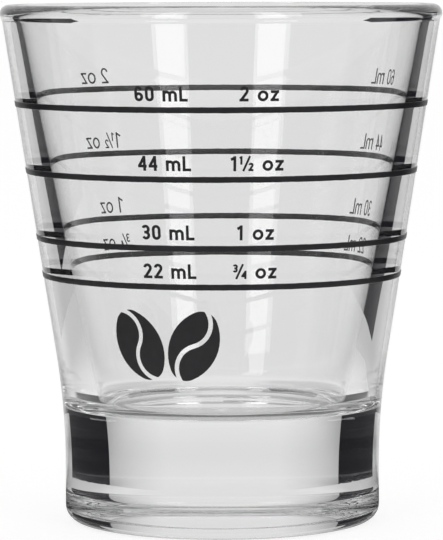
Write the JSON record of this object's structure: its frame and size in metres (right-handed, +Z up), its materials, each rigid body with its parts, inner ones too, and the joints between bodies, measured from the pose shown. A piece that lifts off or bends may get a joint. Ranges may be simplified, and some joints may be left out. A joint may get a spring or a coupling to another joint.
{
  "type": "espresso measuring glass",
  "caption": "Clear pressed-glass tumbler with a thick foot and a flared bowl, for measuring espresso shots by printed lines marked in millilitres and ounces.",
  "frame": {"origin": "middle of the foot, on the surface that the glass stands on", "axes": "+Z up along the axis of the glass, -Y towards the front of the print, +X to the right as seen from the front"},
  "size_m": [0.0614, 0.0614, 0.072],
  "materials": {
    "glass": "clear polished pressed soda-lime glass",
    "print": "fired black enamel, satin"
  },
  "bodies": {
    "root": {"glass_body": "glass", "first_line": "print", "second_line": "print", "third_line": "print", "fourth_line": "print", "first_front_ml_figures": "print", "second_front_ml_figures": "print", "third_front_ml_figures": "print", "fourth_front_ml_figures": "print", "first_front_oz_figures": "print", "second_front_oz_figures": "print", "third_front_oz_figures": "print", "fourth_front_oz_figures": "print", "first_rear_ml_figures": "print", "second_rear_ml_figures": "print", "third_rear_ml_figures": "print", "fourth_rear_ml_figures": "print", "first_rear_oz_figures": "print", "second_rear_oz_figures": "print", "third_rear_oz_figures": "print", "fourth_rear_oz_figures": "print", "left_bean": "print", "right_bean": "print"}
  },
  "joints": []
}
